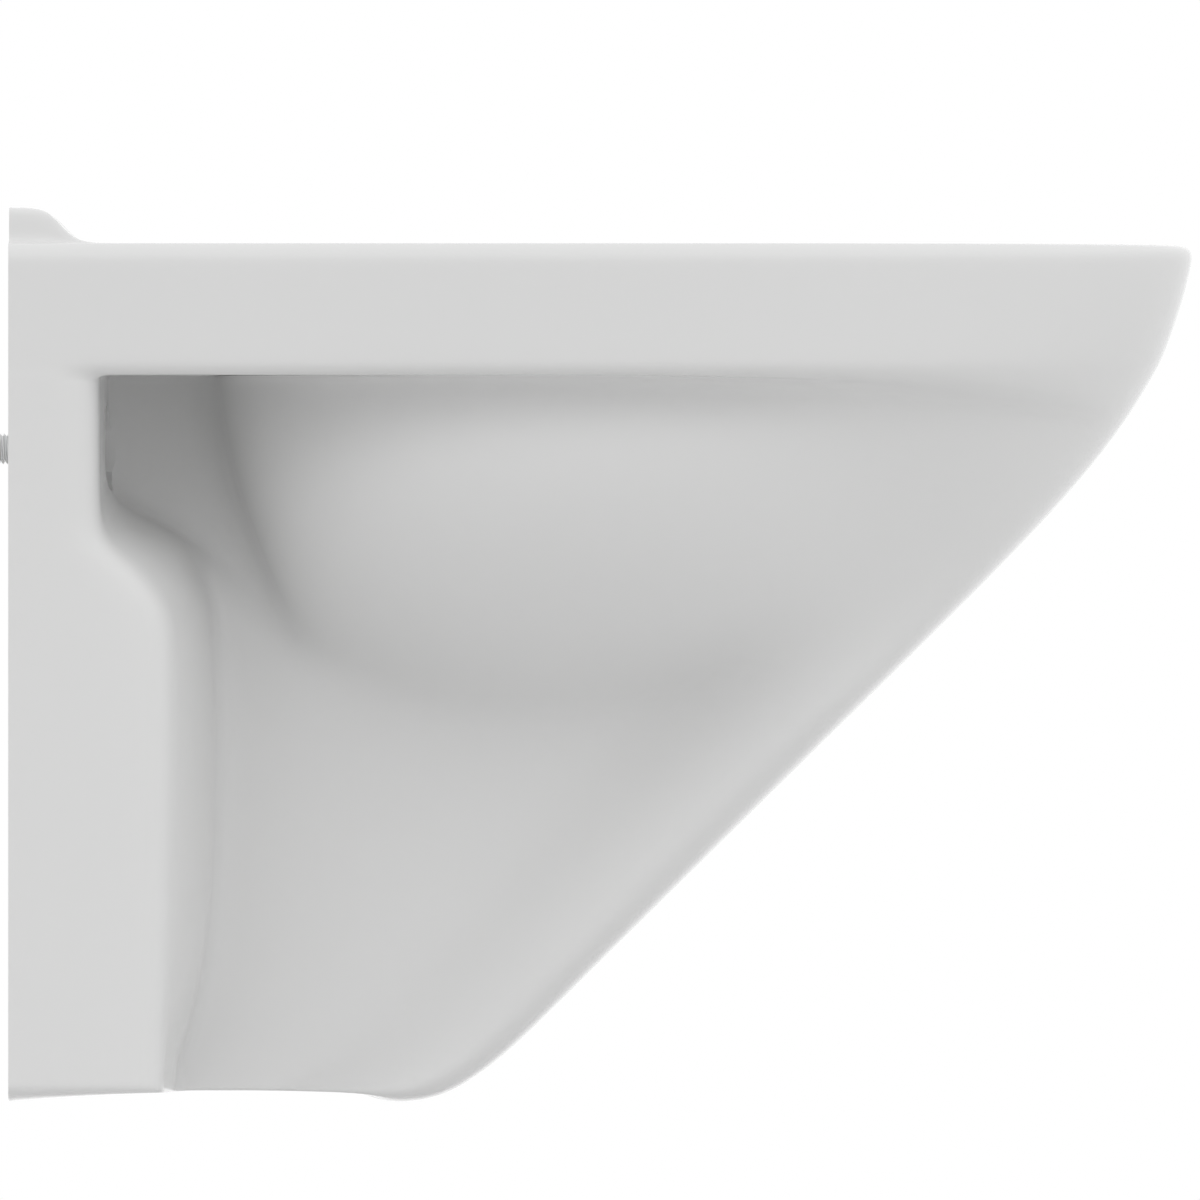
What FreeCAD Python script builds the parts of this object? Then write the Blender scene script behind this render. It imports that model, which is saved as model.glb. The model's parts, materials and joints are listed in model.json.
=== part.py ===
# Wall hung toilet pan with its wall fixings, in millimetres.
# X runs forward from the wall, Y to the left of a person seated on it, Z up.
# The origin is midway between the two wall studs, on the wall plane.
import FreeCAD
import Part
import math
import os

V = FreeCAD.Vector

# Pan, overall
pan_depth = 480.0          # wall to the front of the rim
pan_width = 360.0          # across the rim, and across the wall flange
rim_above_studs = 83.0     # stud line up to the rim's top
base_below_studs = 265.6   # stud line down to the underside
rim_band = 54.0            # height of the rim's flat side

# Front edge of the pan: a bow at the top that runs into a straight slope
front_lean = 11.5          # lean of the rim's front, degrees off upright
front_bow_radius = 200.0
front_slope = 45.0         # slope under the bowl, degrees
front_top_drop = 6.0       # rim's top down to the foremost point

# Wall flange
flange_depth_top = 36.5    # beside the studs
flange_depth_low = 66.3    # below the side recess
flange_depth_foot = 62.5   # at the underside
flange_edge = 3.5          # rounding of the flange's front edge
plate_depth = 14.0         # ceramic behind each stud's washer, at the foot of its well
well_radius = 17.5         # well in the flange's face, round each nut
flange_wall = 9.0
pocket_gap = 9.5           # ceramic between a stud's well and the pocket beside it
pocket_depth = 27.0
pocket_width = 52.0
pocket_height = 75.0
pocket_low = -46.0

# Ledge that stands on the deck at the wall
ledge_height = 14.7
ledge_depth = 31.5
ledge_flat = 10.6
ledge_half_width = 150.0
ledge_end_run = 5.0        # each end's slope, to both sides of that half-width

# Bowl and the web that carries it
bowl_half_width = 168.0
neck_half_width = 161.0
duct_half_width = 60.0     # ceramic behind the bowl that holds inlet and trap
web_half_width = 60.0
web_wall = 9.0
nose_half_top = 91.0       # half-width of the squarer front under the bowl
bowl_back = 85.0           # wall to the back of the bowl, under the rim

# Opening in the rim, and the flush channel round it
opening_middle = 281.0
opening_length = 306.0
opening_width = 244.0
channel_low = 41.0
channel_high = 73.0
channel_wall = 9.5
flush_hole_radius = 3.0
flush_hole_count = 24

# Water ways
trap_radius = 30.0
trap_wall = 9.0
outlet_drop = 100.0        # stud line down to the outlet's middle
horn_radius = 51.0
horn_bore_radius = 42.0
sleeve_gap = 15.0          # room round the horn for the waste pipe's sleeve
sleeve_depth = 40.0
inlet_rise = 35.0          # stud line up to the inlet's middle
inlet_bore_radius = 27.5
chamber_back = 30.0        # flush chamber between the inlet and the rim's channel
chamber_front = 95.0
chamber_half_width = 44.0
chamber_low = -12.0
chamber_high = 56.0
flush_pipe_radius = 22.5
seal_inset = 3.0           # wall plane to the seal
seal_length = 28.0
fin_pitch = 8.5
fin_height = 1.7
fin_gap = 0.1              # seal's fins inside the inlet bore

# Wall fixings, M12
stud_spacing = 180.0
stud_radius = 6.0          # the length that goes into the wall
thread_radius = 5.8        # the length that carries bush, washer and nut
stud_behind_wall = 70.0
stud_hole_radius = 11.0
nut_across_flats = 18.0
nut_height = 10.8

# Seat holes in the deck
seat_hole_spacing = 155.0
seat_hole_radius = 7.5
seat_hole_x = 60.0

half_width = pan_width / 2
rim_top = rim_above_studs
shelf = rim_top - rim_band
base = -base_below_studs

# Bow of the front edge: its centre, and where the straight slope begins
bow_x = pan_depth - front_bow_radius * math.cos(math.radians(front_lean))
bow_z = rim_top - front_top_drop + front_bow_radius * math.sin(math.radians(front_lean))
slope_x = bow_x + front_bow_radius * math.sin(math.radians(front_slope))
slope_z = bow_z - front_bow_radius * math.cos(math.radians(front_slope))

# Swell of the front edge beyond bow and slope: height, distance
front_swell = [(90, 2.6), (68, 2.0), (60, 2.4), (38, 2.6), (24, 1.5), (0, -0.2), (-20, 0.2), (-46, 1.5)]
front_swell += [(-90, 1.2), (-127, 0.5), (-168, -0.2), (-208, -0.8), (-250, -1.0), (-270, -0.6)]


def between(table, z):
    """Value at height z, from a table that runs from the top down."""
    for (z1, v1), (z0, v0) in zip(table, table[1:]):
        if z >= z0:
            return v0 + (v1 - v0) * min(1, (z - z0) / (z1 - z0))
    return table[-1][1]


def front_x(z):
    """Distance from the wall to the pan's front edge at height z."""
    swell = between(front_swell, z)
    if z < slope_z:
        return slope_x + (z - slope_z) / math.tan(math.radians(front_slope)) + swell
    drop = min(z, rim_top - front_top_drop) - bow_z
    return bow_x + math.sqrt(front_bow_radius ** 2 - drop ** 2) + swell


# Rings of poles for the outer skin: each runs from the wall to the front's middle
side_x = [0, 12, 25, 34.5, 39.5, 49, 63, 82, 108, 138, 170, 212, 262]
front_share = [(0.28, 0.985), (0.55, 0.90), (0.78, 0.735), (0.93, 0.50), (1.0, 0.24), (1.0, 0.0)]
front_blend = [0.1, 0.3, 0.6, 0.85, 1.0, 1.0]
neck_fade = [0.05, 0.3, 0.7, 1.0, 1.0, 1.0]
belly_share = [0.90, 0.93, 0.97, 1.0, 0.97, 0.88]
ridge_rise = [0, 0, 0, 7, 16, 26]
corner_share = [0.2, 0.48, 0.76, 0.96, 1.0]
front_halves = [(32, 180), (24, 179), (15, 177.5), (6, 175), (-6, 170.5)]
front_halves += [(-26, 161), (-50, 146), (-74, 127), (-95, 108)]


def front_half(z):
    """Half-width of the pan's front at height z, where no neck shows."""
    return between(front_halves, z)


def front_columns(x0, x1, half, back_half=None):
    back_half = half if back_half is None else back_half
    columns = []
    for (fx, fy), fade in zip(front_share, neck_fade):
        h = back_half + (half - back_half) * fade
        columns.append((x0 + fx * (x1 - x0), fy * h))
    return columns


def lift(plan, z_flange, z_mid, z_front, belly=0, ridge=0, rise=None):
    """Give a ring its heights: flange, corner, middle and front differ."""
    ring = []
    for i, (x, y) in enumerate(plan):
        z = z_flange if i < 4 else z_mid
        if rise is not None and 4 <= i <= 8:
            z = z_flange + rise * corner_share[i - 4]
        if belly and 9 <= i <= 14:
            share = 1 - belly * (1 - belly_share[i - 9])
            z = shelf - (shelf - z_mid) * share + ridge * ridge_rise[i - 9]
        if i >= 13:
            z = z + (z_front - z) * front_blend[i - 13]
        ring.append(V(x, y, z))
    return ring


def rim_ring(z, inset, z_front=None, front_inset=0):
    z_front = z if z_front is None else z_front
    half = half_width - inset
    plan = [(x, half) for x in side_x]
    plan += front_columns(side_x[-1], front_x(z_front) - front_inset, half)
    return lift(plan, z, z, z_front)


def shelf_ring(inset, z_flange, z_mid, z_front):
    half = half_width - inset
    plan = [(0, half_width), (12, half_width), (26, half_width), (35.3, half_width - flange_edge)]
    plan += [(x, half) for x in side_x[4:]]
    plan += front_columns(side_x[-1], front_x(z_front), front_half(z_front), half)
    return lift(plan, z_flange, z_mid, z_front)


def wall_columns(flange, strip, inner):
    """Nine columns from the wall round the flange; strip is the lean of its face towards the middle."""
    w = half_width
    columns = [(0, w), (12, w), (flange - 9, w), (flange, w - flange_edge)]
    for along, out in ((0.14, 0.82), (0.36, 0.54), (0.58, 0.27), (0.76, 0.06), (0.95, 0.0)):
        columns.append((flange + strip * along, inner + (w - flange_edge - inner) * out))
    return columns


def nose_columns(xf, half):
    """Last four columns of the squarer front below the bowl."""
    return [(xf - 40, half - 7), (xf - 13, half), (xf + 0.6, half * 0.82), (xf, 0)]


def bowl_ring(back, half, flange, strip, rise, square, z_flange, z_mid, z_front, ridge=0, full=1):
    xf, duct = front_x(z_front), duct_half_width
    plan = wall_columns(flange, strip, duct)
    for step, out in ((-2, 0), (-0.5, 0.36 * full), (20, 0.7 * full), (74, 0.96)):
        plan.append((back + step, duct + (half - duct) * out))
    front = front_columns(back + 120, xf, front_half(z_front), half)
    for i, (x, y) in enumerate(nose_columns(xf, nose_half_top)):
        x0, y0 = front[i + 2]
        front[i + 2] = (x0 + (x - x0) * square, y0 + (y - y0) * square)
    return lift(plan + front, z_flange, z_mid, z_front, 1, ridge, rise)


def web_ring(flange, strip, rise, half, nose_half, z_flange, z_mid, z_front, belly=0, pull=0):
    xf = front_x(z_front) - pull
    plan = wall_columns(flange, strip, half)
    x0 = flange + strip * 1.9
    x1 = xf - 70
    for i in range(6):
        plan.append((x0 + (x1 - x0) * i / 5, half))
    plan += nose_columns(xf, nose_half)
    return lift(plan, z_flange, z_mid, z_front, belly, 0, rise)


def foot_rings():
    """Underside: an inset ring, one halfway in, and the line along the middle."""
    w, f, h = half_width, flange_depth_foot, web_half_width
    foot = [(0, w - 12), (12, w - 12), (f - 14, w - 13), (f - 6, w - 16)]
    foot += [(f - 3, 150), (f - 3, 122), (f - 2, 96), (f + 1, 75), (f + 5, h + 4)]
    foot += [(f + 9 + 11 * i, h + 3) for i in range(6)]
    foot += [(144, h), (154, 48), (161, 26), (162, 0)]
    rise = [0, 1.2, 3.6] + [3.9] * 12 + [3.6, -0.4, -1.2, -1.2]
    rings = []
    for shrink, pull in ((1, 1), (0.5, 0.98), (0, 0.96)):
        rings.append([V(x * pull, y * shrink, base + r) for (x, y), r in zip(foot, rise)])
    return rings


def pan_rings():
    h, ft, fl, ff = web_half_width, flange_depth_top, flange_depth_low, flange_depth_foot
    back, neck, bowl, nose = bowl_back, neck_half_width, bowl_half_width, nose_half_top
    top = rim_top
    rings = [rim_ring(top, 10, top, 9), rim_ring(top, 4.5, top, 2), rim_ring(top - 5.2, 0.3, top - 4)]
    rings += [rim_ring(top - 8.5, 0), rim_ring(top - 23, 0)]
    rings += [rim_ring(shelf + 10, 0, shelf + 13), rim_ring(shelf + 3.2, 0.3, shelf + 4)]
    rings += [shelf_ring(4.5, shelf - 1, shelf, shelf - 5)]
    rings += [shelf_ring(13, shelf - 3, shelf + 0.4, shelf - 14)]
    rings += [bowl_ring(back - 5, neck + 5, ft, -1.6, None, 0, 25, shelf + 2, 9, 0, 0.79)]
    rings += [bowl_ring(back, neck, ft, -1.6, None, 0, 18, shelf - 0.5, 4, 0, 0.77)]
    rings += [bowl_ring(back + 1, neck, ft, -1.6, 12, 0, 4, 17, -6, 0.25, 0.79)]
    rings += [bowl_ring(back + 6, bowl, ft, -1, 8, 0.3, -23, -14, -26, 1, 0.88)]
    rings += [bowl_ring(back + 17, bowl * 0.9, ft + 0.7, 12, 10, 0.55, -36, -49, -50, 0.5)]
    rings += [bowl_ring(back + 30, bowl * 0.7, 51, 20, 14, 0.8, -46, -81, -74, 0.2)]
    rings += [web_ring(fl - 3.5, 20, 9, h + 8, nose, -60, -104, -95, 1)]
    rings += [web_ring(fl, 21, 3, h + 2, nose, -80, -117, -114, 0.5)]
    rings += [web_ring(fl - 1, 22, 0, h, 84, -150, -160, -160)]
    rings += [web_ring(ff + 1.5, 20, 0, h, 80, base + 60, base + 60, base + 65)]
    rings += [web_ring(ff + 0.5, 12, 0, h, 78, base + 32, base + 32, base + 42)]
    rings += [web_ring(ff, 6, 0, h + 2, 77, base + 16, base + 16, base + 25)]
    rings += [web_ring(ff, 5, 0, h + 6, 78, base + 7.2, base + 7.5, base + 12, 0, 2)]
    rings += [web_ring(ff, 5, -0.6, h + 7, 79, base + 4, base + 3.8, base + 1.1, 0, 8)]
    return rings + foot_rings()


def knots(count):
    return [float(i) for i in range(count - 2)], [4] + [1] * (count - 4) + [4]


def skin(rings):
    knots_u, mults_u = knots(len(rings))
    knots_v, mults_v = knots(len(rings[0]))
    surface = Part.BSplineSurface()
    surface.buildFromPolesMultsKnots(rings, mults_u, mults_v, knots_u, knots_v, False, False, 3, 3)
    return surface.toShape()


def face_of(edges):
    return Part.Face(Part.Wire(Part.sortEdges(edges)[0]))


def half_pan():
    """One half of the outer skin, closed at the rim's top, the wall and the middle."""
    rings = pan_rings()
    face = skin(rings)

    def inside(edge, test):
        first, last = edge.FirstParameter, edge.LastParameter
        return all(test(edge.valueAt(first + (last - first) * t)) for t in (0, 0.3, 0.7, 1))

    top = [e for e in face.Edges if inside(e, lambda p: abs(p.z - rim_top) < 1e-6)]
    back = [e for e in face.Edges if inside(e, lambda p: abs(p.x) < 1e-6)]
    middle = [e for e in face.Edges if inside(e, lambda p: abs(p.y) < 1e-6)]
    corner = V(0, 0, rim_top)
    line_top = Part.makeLine(rings[0][0], corner)
    line_middle = Part.makeLine(corner, rings[0][-1])
    line_back = Part.makeLine(corner, rings[-1][0])
    faces = [face, face_of(top + [line_top, line_middle]), face_of(back + [line_top, line_back])]
    faces.append(face_of(middle + [line_middle, line_back]))
    shell = Part.Shell(faces)
    shell.sewShape()
    solid = Part.Solid(shell)
    solid.fix(0.01, 0.01, 0.01)
    if solid.Volume < 0:
        solid.reverse()
    return solid


def closed_curve(points):
    curve = Part.BSplineCurve()
    curve.interpolate(points, PeriodicFlag=True)
    return Part.Wire(curve.toShape())


def egg(x_back, x_front, half, z, count=20):
    """Oval section, fuller towards the wall than an ellipse."""
    middle, length = (x_back + x_front) / 2, (x_front - x_back) / 2
    points = []
    for i in range(count):
        t = 2 * math.pi * i / count
        c, s = math.cos(t), math.sin(t)
        points.append(V(middle + length * c, half * s * (1 - 0.05 * c), z))
    return closed_curve(points)


def loft(wires, ruled=False):
    solid = Part.makeLoft(wires, True, ruled)
    if solid.Volume < 0:
        solid.reverse()
    return solid


def prism(points, half):
    """Side outline of (x, z) points, extruded to both sides of the middle."""
    corners = [V(x, -half, z) for x, z in points]
    return Part.Face(Part.makePolygon(corners + corners[:1])).extrude(V(0, 2 * half, 0))


def rod(radius, start, end):
    return Part.makeCylinder(radius, (end - start).Length, start, end - start)


def ledge():
    """Raised ledge along the wall: flat top, a long S down to the deck, sloping ends."""
    top = rim_top + ledge_height
    wall_low, wall_high = V(0, 0, rim_top - 6), V(0, 0, top)
    crown, toe = V(ledge_flat, 0, top), V(ledge_depth, 0, rim_top - 0.4)
    curve = Part.BezierCurve()
    curve.setPoles([crown, crown + V(9, 0, 0), toe + V(-11, 0, 0), toe])
    down = V(ledge_depth, 0, rim_top - 6)
    edges = [Part.makeLine(wall_low, wall_high), Part.makeLine(wall_high, crown), curve.toShape()]
    edges += [Part.makeLine(toe, down), Part.makeLine(down, wall_low)]
    run = face_of(edges).extrude(V(0, half_width, 0))
    near, far = ledge_half_width - ledge_end_run, ledge_half_width + ledge_end_run
    end_crown, end_toe = V(-1, near, top), V(-1, far, rim_top - 0.4)
    curve = Part.BezierCurve()
    curve.setPoles([end_crown, V(-1, far - 2, top), V(-1, near + 4, rim_top - 0.4), end_toe])
    low, high, foot = V(-1, 0, rim_top - 6), V(-1, 0, top), V(-1, far, rim_top - 6)
    edges = [Part.makeLine(low, high), Part.makeLine(high, end_crown), curve.toShape()]
    edges += [Part.makeLine(end_toe, foot), Part.makeLine(foot, low)]
    return run.common(face_of(edges).extrude(V(ledge_depth + 2, 0, 0)))


# Bowl's inside: height, back, front and half-width of each section
bowl_sections = [(34, 107, 451, 142), (24, 106, 449, 143.5), (0, 109, 434, 145.5), (-20, 115, 411, 144.5)]
bowl_sections += [(-48, 128, 379, 128), (-74, 141, 350, 96), (-92, 155, 326, 66), (-106, 170, 305, 50)]
bowl_sections += [(-130, 190, 282, 42), (-152, 204, 264, 31)]


def bowl_space(grow=0.0):
    return loft([egg(xb - grow, xf + grow, h + grow, z) for z, xb, xf, h in bowl_sections])


def opening_egg(grow, z):
    half_length = opening_length / 2 + grow
    return egg(opening_middle - half_length, opening_middle + half_length, opening_width / 2 + grow, z)


def opening_space():
    """Throat of the rim, with its rounded top edge."""
    radius = 7.0
    wires = [opening_egg(radius, rim_top + 3)]
    for i in range(7):
        t = math.radians(15 * i)
        wires.append(opening_egg(radius * (1 - math.sin(t)), rim_top - radius * (1 - math.cos(t))))
    wires.append(opening_egg(0, 30))
    return loft(wires, True)


def flush_channel():
    """Hollow inside the rim that carries the flush water round the bowl."""
    inset = channel_wall
    height = channel_high - channel_low
    turn, tip = side_x[-1], front_x(channel_low) - inset
    half = half_width - inset
    outline = [V(inset, half, channel_low), V(turn, half, channel_low)]
    curve = Part.BSplineCurve()
    front = [(turn + fx * (tip - turn), fy * half) for fx, fy in front_share]
    bend = [outline[-1]] + [V(x, y, channel_low) for x, y in front]
    bend += [V(p.x, -p.y, p.z) for p in reversed(bend[:-1])]
    curve.interpolate(bend, InitialTangent=V(1, 0, 0), FinalTangent=V(-1, 0, 0))
    edges = [Part.makeLine(outline[0], outline[1]), curve.toShape()]
    edges += [Part.makeLine(V(turn, -half, channel_low), V(inset, -half, channel_low))]
    edges += [Part.makeLine(V(inset, -half, channel_low), outline[0])]
    ring = face_of(edges).extrude(V(0, 0, height))
    core = Part.Face(opening_egg(8, channel_low - 1)).extrude(V(0, 0, height + 2))
    space = ring.cut(core)
    for side in (-1, 1):
        at = V(seat_hole_x, side * seat_hole_spacing / 2, channel_low - 1)
        space = space.cut(Part.makeCylinder(seat_hole_radius + 9, height + 2, at))
    return space


def flush_holes():
    holes = []
    for i in range(flush_hole_count):
        t = 2 * math.pi * (i + 0.5) / flush_hole_count
        x = opening_middle + (opening_length / 2 + 13) * math.cos(t)
        y = (opening_width / 2 + 14) * math.sin(t) * (1 - 0.05 * math.cos(t))
        holes.append(Part.makeCylinder(flush_hole_radius, 20, V(x, y, channel_low - 14)))
    return holes


def trap(radius, to_wall):
    """Trap way: down from the bowl, up over the weir and back to the wall."""
    path = [V(234, 0, -150), V(196, 0, -203), V(88, 0, -68)]
    path += [V(58, 0, -outlet_drop + 2), V(to_wall, 0, -outlet_drop)]
    pieces = []
    for start, end in zip(path, path[1:]):
        pieces.append(rod(radius, start, end))
        pieces.append(Part.makeSphere(radius, start))
    return pieces[0].multiFuse(pieces[1:])


def back_hollow():
    """Hollow behind the wall flange, open to the wall, and on into the web."""
    f, t = flange_depth_foot, flange_wall
    low = base + 14
    flange_side = [(-2, low), (f - t, low), (f - t, -86), (flange_depth_top - t, -42), (-2, -42)]
    behind = prism(flange_side, half_width - t)
    slant = 17
    web_side = [(f - t - 4, low), (front_x(low) - slant - 12, low), (front_x(-114) - slant, -114)]
    web_side += [(150, -104), (112, -62), (f - t - 4, -86)]
    inside = prism(web_side, web_half_width - web_wall)
    keep = trap(trap_radius + trap_wall, 30).fuse(bowl_space(10))
    horn = rod(horn_radius, V(-3, 0, -outlet_drop), V(sleeve_depth, 0, -outlet_drop))
    for side in (-1, 1):
        near = stud_spacing / 2 + well_radius + pocket_gap
        y = near if side > 0 else -near - pocket_width
        pocket = Part.makeBox(pocket_depth + 2, pocket_width, pocket_height, V(-2, y, pocket_low))
        behind = behind.fuse(pocket)
    sleeve_room = rod(horn_radius + sleeve_gap, V(-2, 0, -outlet_drop), V(sleeve_depth, 0, -outlet_drop))
    return behind.fuse(inside).cut(keep).fuse(sleeve_room).cut(horn)


def ceramic_pan():
    half = half_pan()
    whole = half.fuse(half.mirror(V(), V(0, 1, 0)))
    rise = ledge()
    whole = whole.fuse(rise).fuse(rise.mirror(V(), V(0, 1, 0)))
    print("outer", whole.isValid(), round(whole.Volume / 1e6, 2))
    whole = whole.cut(back_hollow())
    print("hollow", whole.isValid(), round(whole.Volume / 1e6, 2))
    whole = whole.cut(bowl_space()).cut(opening_space())
    print("bowl", whole.isValid(), round(whole.Volume / 1e6, 2))
    whole = whole.cut(flush_channel())
    whole = whole.cut(Part.makeCompound(flush_holes()))
    print("channel", whole.isValid(), round(whole.Volume / 1e6, 2))
    whole = whole.cut(trap(trap_radius, -2))
    whole = whole.cut(rod(horn_bore_radius, V(-2, 0, -outlet_drop), V(sleeve_depth, 0, -outlet_drop)))
    whole = whole.cut(rod(inlet_bore_radius, V(-2, 0, inlet_rise), V(chamber_back + 6, 0, inlet_rise)))
    chamber = V(chamber_front - chamber_back, 2 * chamber_half_width, chamber_high - chamber_low)
    at = V(chamber_back, -chamber_half_width, chamber_low)
    whole = whole.cut(Part.makeBox(chamber.x, chamber.y, chamber.z, at))
    print("water", whole.isValid(), round(whole.Volume / 1e6, 2))
    for side in (-1, 1):
        y = side * stud_spacing / 2
        whole = whole.cut(rod(well_radius, V(plate_depth, y, 0), V(62, y, 0)))
        whole = whole.cut(rod(stud_hole_radius, V(-2, y, 0), V(20, y, 0)))
        seat = V(seat_hole_x, side * seat_hole_spacing / 2, rim_top + 20)
        whole = whole.cut(rod(seat_hole_radius, seat, seat - V(0, 0, 80)))
    print("pan", whole.isValid(), round(whole.Volume / 1e6, 2), len(whole.Solids))
    return whole


# Wall fixings: distances along a stud, from the wall plane forward
collar_thickness = 2.5
washer_thickness = 2.5
washer_at = plate_depth + collar_thickness
nut_at = washer_at + washer_thickness
stud_end = nut_at + nut_height + 1.7
bush_gap = 1.2             # bush's bore round the stud
hole_gap = 0.2             # bush's body in the stud hole
washer_gap = 0.7
thread_gap = 0.05
collar_radius = 15.0
washer_radius = 13.6
cap_gap = 0.2
cap_hollow_gap = 0.25      # cap's inside round the nut's corners
cap_wall = 1.8
cap_roof = 2.4


def turned(profile, y):
    """Solid turned about a stud's axis from (x, radius) points."""
    corners = [V(x, y, r) for x, r in profile]
    face = Part.Face(Part.makePolygon(corners + corners[:1]))
    return face.revolve(V(0, y, 0), V(1, 0, 0), 360)


def wall_stud(y):
    r, front, chamfer = stud_radius, thread_radius, 1.5
    back = -stud_behind_wall
    profile = [(back, 0), (back, r - chamfer), (back + chamfer, r), (0, r), (0.5, front)]
    profile += [(stud_end - chamfer, front), (stud_end, front - chamfer), (stud_end, 0)]
    return turned(profile, y)


def stud_bush(y):
    bore, body, collar, e = thread_radius + bush_gap, stud_hole_radius - hole_gap, collar_radius, 0.6
    face = plate_depth + collar_thickness
    profile = [(1, bore), (1, body), (plate_depth, body), (plate_depth, collar)]
    profile += [(face - e, collar), (face, collar - e), (face, bore)]
    return turned(profile, y)


def steel_washer(y):
    bore, rim, e = thread_radius + washer_gap, washer_radius, 0.3
    profile = [(washer_at, bore), (washer_at, rim - e), (washer_at + e, rim)]
    profile += [(nut_at - e, rim), (nut_at, rim - e), (nut_at, bore)]
    return turned(profile, y)


def hex_nut(y):
    across = nut_across_flats / math.cos(math.radians(30)) / 2
    corners = []
    for i in range(7):
        t = math.radians(60 * i)
        corners.append(V(nut_at, y + across * math.sin(t), across * math.cos(t)))
    block = Part.Face(Part.makePolygon(corners)).extrude(V(nut_height, 0, 0))
    end, e = nut_at + nut_height, 1.3
    flat = nut_across_flats / 2 - 0.2
    rim = across + 0.1
    limit = [(nut_at, 0), (nut_at, flat), (nut_at + e, rim), (end - e, rim), (end, flat), (end, 0)]
    bore, mouth, c = thread_radius + thread_gap, thread_radius + 1.6, 0.9
    hole = [(nut_at - 1, 0), (nut_at - 1, mouth), (nut_at + c, bore)]
    hole += [(end - c, bore), (end + 1, mouth), (end + 1, 0)]
    return block.common(turned(limit, y)).cut(turned(hole, y))


def cover_cap(y):
    """Push-on cap over the nut: a short skirt at the washer and a rounded top."""
    hollow = nut_across_flats / math.cos(math.radians(30)) / 2 + cap_hollow_gap
    body = hollow + cap_wall
    start = nut_at + cap_gap
    roof = stud_end + 0.6
    top = roof + cap_roof
    outline = [(start, hollow), (start, body + 1.2), (start + 1.4, body + 1.2), (start + 2.2, body)]
    for i in range(5):
        t = math.radians(22.5 * i)
        outline.append((top - 3.2 + 3.2 * math.sin(t), body - 3.2 + 3.2 * math.cos(t)))
    outline += [(top, 0), (roof, 0), (roof, hollow - 1.5), (roof - 1.5, hollow)]
    return turned(outline, y)


def inlet_seal():
    """Rubber seal in the inlet bore: three fins outside, plain bore for the flush pipe."""
    bore, core, fin = flush_pipe_radius, inlet_bore_radius - fin_height, inlet_bore_radius - fin_gap
    start, end = seal_inset, seal_inset + seal_length
    outline = [(start, bore), (start, core)]
    for i in range(3):
        x = start + 4 + fin_pitch * i
        outline += [(x, core), (x + 1.6, fin), (x + 2.6, fin), (x + 4.2, core)]
    outline += [(end, core), (end, bore)]
    corners = [V(x, 0, inlet_rise + r) for x, r in outline]
    face = Part.Face(Part.makePolygon(corners + corners[:1]))
    return face.revolve(V(0, 0, inlet_rise), V(1, 0, 0), 360)


nodes = {"ceramic_pan": ceramic_pan(), "inlet_seal": inlet_seal()}
for side, y in (("left", stud_spacing / 2), ("right", -stud_spacing / 2)):
    nodes["wall_stud_" + side] = wall_stud(y)
    nodes["stud_bush_" + side] = stud_bush(y)
    nodes["steel_washer_" + side] = steel_washer(y)
    nodes["hex_nut_" + side] = hex_nut(y)
    nodes["cover_cap_" + side] = cover_cap(y)

os.makedirs("parts", exist_ok=True)
for name, shape in nodes.items():
    print(name, shape.isValid(), round(shape.Volume / 1000, 2))
    shape.exportStep("parts/" + name + ".step")
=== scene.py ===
import bpy
import bmesh
import json
import math
from mathutils import Matrix, Vector


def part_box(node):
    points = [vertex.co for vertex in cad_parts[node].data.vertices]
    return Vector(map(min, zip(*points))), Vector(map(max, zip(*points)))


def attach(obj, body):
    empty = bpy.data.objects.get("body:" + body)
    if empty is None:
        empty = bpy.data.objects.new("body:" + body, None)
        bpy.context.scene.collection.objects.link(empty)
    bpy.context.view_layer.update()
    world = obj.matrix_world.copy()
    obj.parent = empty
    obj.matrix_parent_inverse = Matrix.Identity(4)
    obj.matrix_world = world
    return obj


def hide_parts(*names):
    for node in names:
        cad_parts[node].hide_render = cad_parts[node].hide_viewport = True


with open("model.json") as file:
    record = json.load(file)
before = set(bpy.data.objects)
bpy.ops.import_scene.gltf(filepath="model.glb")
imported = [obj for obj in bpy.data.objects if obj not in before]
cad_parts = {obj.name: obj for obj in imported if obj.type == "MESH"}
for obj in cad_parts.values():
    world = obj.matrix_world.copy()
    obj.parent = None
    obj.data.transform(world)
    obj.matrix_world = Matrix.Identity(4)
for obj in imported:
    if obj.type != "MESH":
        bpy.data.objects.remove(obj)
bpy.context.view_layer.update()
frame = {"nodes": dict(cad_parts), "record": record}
mm = 0.001
seamNear = 0.00002  # points nearer than this, in metres, become one
cutPast = 2.0  # cutters start this far behind the wall, in mm
bothSides = ("left", "right")
mounts = {mount["name"]: mount for mount in frame["record"]["mounts"]}
print("frame:", len(frame["nodes"]), "nodes")
scene = bpy.context.scene


# shapes and cutters, all in mm
def inMm(corners):
    return [Vector(corner) / mm for corner in corners]


def inMiddle(points):  # (x, z) points in the middle plane
    return [Vector((x, 0, z)) for x, z in points]


def allOf(bm):
    return bm.verts[:] + bm.edges[:] + bm.faces[:]


def block(bm, low, high):
    low, high = Vector(low), Vector(high)
    made = bmesh.ops.create_cube(bm, size=mm)["verts"]
    bmesh.ops.scale(bm, vec=high - low, verts=made)
    bmesh.ops.translate(bm, vec=(low + high) / 2 * mm, verts=made)


def post(bm, radius, start, end, sides=48):
    start, end = Vector(start), Vector(end)
    run = end - start
    turn = run.to_track_quat("Z", "Y").to_matrix().to_4x4()
    place = Matrix.Translation((start + end) / 2 * mm) @ turn
    bmesh.ops.create_cone(bm, cap_ends=True, segments=sides, radius1=radius * mm, radius2=radius * mm,
                          depth=run.length * mm, matrix=place)


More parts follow.
